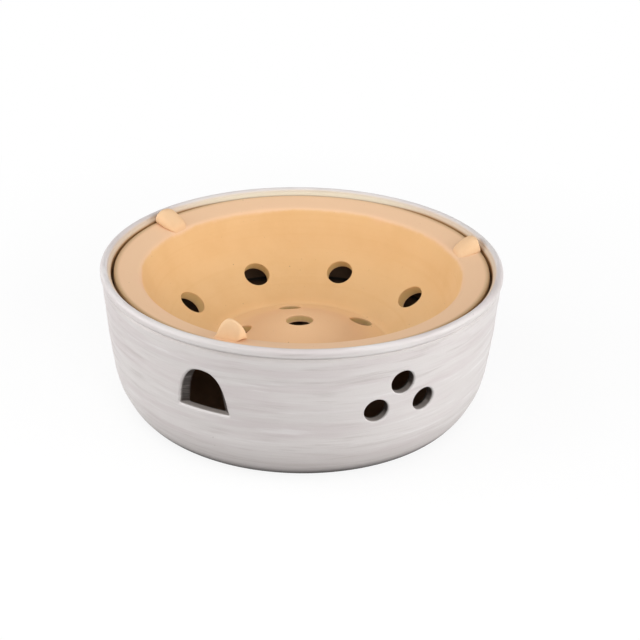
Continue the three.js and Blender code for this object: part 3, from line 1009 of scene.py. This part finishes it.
def pinched_rest(s, fire, index, bearing, inset, long, width, high, lean, left, right, inner, end):
    """One lump of clay pinched onto the band"""
    parts, wides, talls = zip(*REST)
    slope = fire.band_drop / fire.band_width
    throat, throat_z = fire.edge_radius - fire.band_width, fire.edge_height - fire.band_drop
    outer_end = fire.edge_radius - inset * MM
    inside = fire_outlines(fire)[0]
    places = []
    for part in ARCHES:
        wide, tall = np.interp(part, parts, wides) ** end, np.interp(part, parts, talls) ** inner
        for k in range(ARCH_PLACES):
            turn = math.pi * k / (ARCH_PLACES - 1)
            rise = tall * math.sin(turn) ** (left if math.cos(turn) > 0 else right)
            flare = s.flare / MM * math.exp(-high * rise / FLARE_HEIGHT)
            y = width * (wide * math.cos(turn) / 2 + lean * rise) + flare * math.cos(turn)
            places.append(Vector((-long * part, y, high * rise)) * MM)
    for place in places:
        lump = noise.noise_vector(place * 130 + Vector((index * 7, 2, 5)))
        fine = noise.noise_vector(place * 420 + Vector((index * 3, 8, 1)))
        grip = min(1, max(0, place.z / (2 * MM)))
        place += (lump + fine * 0.35) * s.pinch * grip
        radius = math.hypot(outer_end + place.x, place.y)
        dip = max(0, throat_z - along(inside, radius)) if radius < throat else 0
        low = 1 - min(1, place.z / (5 * MM))
        place.z = place.z + place.x * slope - dip * low - (s.sink if place.z < 0.05 * MM else 0)
    seat = Matrix.Translation((outer_end, 0, fire.edge_height - inset * MM * slope))
    seat = Matrix.Rotation(math.radians(bearing), 4, "Z") @ seat
    faces = ring_faces(len(ARCHES), ARCH_PLACES)
    rest = mesh_object(f"net_rest_{index}_pinched", [seat @ p for p in places], faces)
    note(rest, "foot", np.maximum([p.z - p.x * slope for p in places], 0))
    rest.modifiers.new("soft", "SUBSURF").render_levels = 1
    return rest


class GRILL_OT_net_rests(bpy.types.Operator):
    """Make the three lumps of clay that carry the net"""
    bl_idname = "grill.net_rests"
    bl_label = "Net rests"

    def execute(self, context):
        s = context.scene.grill_rests
        clay = pale_clay(s)
        noise.seed_set(PINCH_SEED)
        for index, sizes in enumerate(RESTS, 1):
            fresh(f"net_rest_{index}_pinched")
            rest = pinched_rest(s, context.scene.grill_fire, index, *sizes)
            finish_piece(rest, clay, "fire", "pale_clay", f"net_rest_{index}")
        return {"FINISHED"}


# -------- stage

# Where the camera stands, its right, up and forward directions, and its lens in mm
EYE = (0, -0.823118, 0.469259)
EYE_AXES = (
    (0.99979724, -0.0072, 0.01880531), (-0.01355003, 0.4502679, 0.89279069),
    (0.01489552, 0.89286448, -0.45007904),
)
LENS, SENSOR = 69.72, 36.0

# The place that all lamps face, and each lamp: name, place, width, height, watts
LAMP_AIM = (0, 0, 0.05)
LAMPS = [
    ("lamp_above", (0.1, 0.1, 1.5), 1.6, 1.4, 3.7),
    ("lamp_above_left", (-0.9, -0.1, 1.2), 1.2, 0.9, 4.3),
    ("lamp_left", (-1.4, -0.15, 0.42), 1.2, 0.8, 12.0),
    ("lamp_right", (1.4, -0.4, 0.48), 1.2, 0.8, 12.2),
    ("lamp_front", (0.35, -1.75, 0.95), 1.4, 1.0, 14.8),
    ("lamp_front_right", (1.0, -1.3, 0.6), 1.2, 0.9, 3.8),
]


class GRILL_OT_stage(bpy.types.Operator):
    """Set up the floor, the lamps and the camera"""
    bl_idname = "grill.stage"
    bl_label = "Stage"

    def execute(self, context):
        s = context.scene.grill_stage
        fresh("floor", "view", *(lamp[0] for lamp in LAMPS))
        reach = 6.0  # far past the view's edges
        floor = mesh_object(
            "floor",
            [(-reach, -reach, 0), (reach, -reach, 0), (reach, reach, 0), (-reach, reach, 0)],
            [(0, 1, 2, 3)],
        )
        floor.data.materials.append(paper_floor(s))

        for name, place, wide, high, watts in LAMPS:
            light = bpy.data.lights.new(name, "AREA")
            light.shape, light.size, light.size_y = "RECTANGLE", wide, high
            light.energy = watts * s.lamp
            lamp = bpy.data.objects.new(name, light)
            lamp.location = place
            way = Vector(LAMP_AIM) - Vector(place)
            lamp.rotation_euler = way.to_track_quat("-Z", "Y").to_euler()
            context.scene.collection.objects.link(lamp)

        context.scene.world = room_light(s)
        context.scene.view_settings.view_transform = "Standard"

        camera = bpy.data.cameras.new("view")
        camera.lens, camera.sensor_width = LENS, SENSOR
        view = bpy.data.objects.new("view", camera)
        right, up, forward = (Vector(axis) for axis in EYE_AXES)
        turn = Matrix((right, up, -forward)).transposed().to_4x4()
        view.matrix_world = Matrix.Translation(EYE) @ turn
        context.scene.collection.objects.link(view)
        context.scene.camera = view
        return {"FINISHED"}


# -------- add-on

class GRILL_PT_pieces(bpy.types.Panel):
    """Lists the grill's pieces with their sizes and colours"""
    bl_label = "Grill"
    bl_idname = "GRILL_PT_pieces"
    bl_space_type = "VIEW_3D"
    bl_region_type = "UI"
    bl_category = "Grill"

    def draw(self, context):
        for operator, settings, _ in PIECES:
            box = self.layout.box()
            box.operator(operator.bl_idname)
            group = getattr(context.scene, settings)
            for name in group.__annotations__:
                box.prop(group, name)


# Each operator, with the name and class of its settings
PIECES = [
    (GRILL_OT_outer_bowl, "grill_outer", OuterBowlSettings),
    (GRILL_OT_fire_bowl, "grill_fire", FireBowlSettings),
    (GRILL_OT_net_rests, "grill_rests", NetRestSettings),
    (GRILL_OT_stage, "grill_stage", StageSettings),
]


def register():
    for operator, settings, group in PIECES:
        bpy.utils.register_class(group)
        bpy.utils.register_class(operator)
        setattr(bpy.types.Scene, settings, PointerProperty(type=group))
    bpy.utils.register_class(GRILL_PT_pieces)


def unregister():
    bpy.utils.unregister_class(GRILL_PT_pieces)
    for operator, settings, group in reversed(PIECES):
        delattr(bpy.types.Scene, settings)
        bpy.utils.unregister_class(operator)
        bpy.utils.unregister_class(group)


def main():
    register()
    bpy.ops.grill.outer_bowl()
    bpy.ops.grill.fire_bowl()
    bpy.ops.grill.net_rests()
    bpy.ops.grill.stage()


if __name__ == "__main__":
    main()
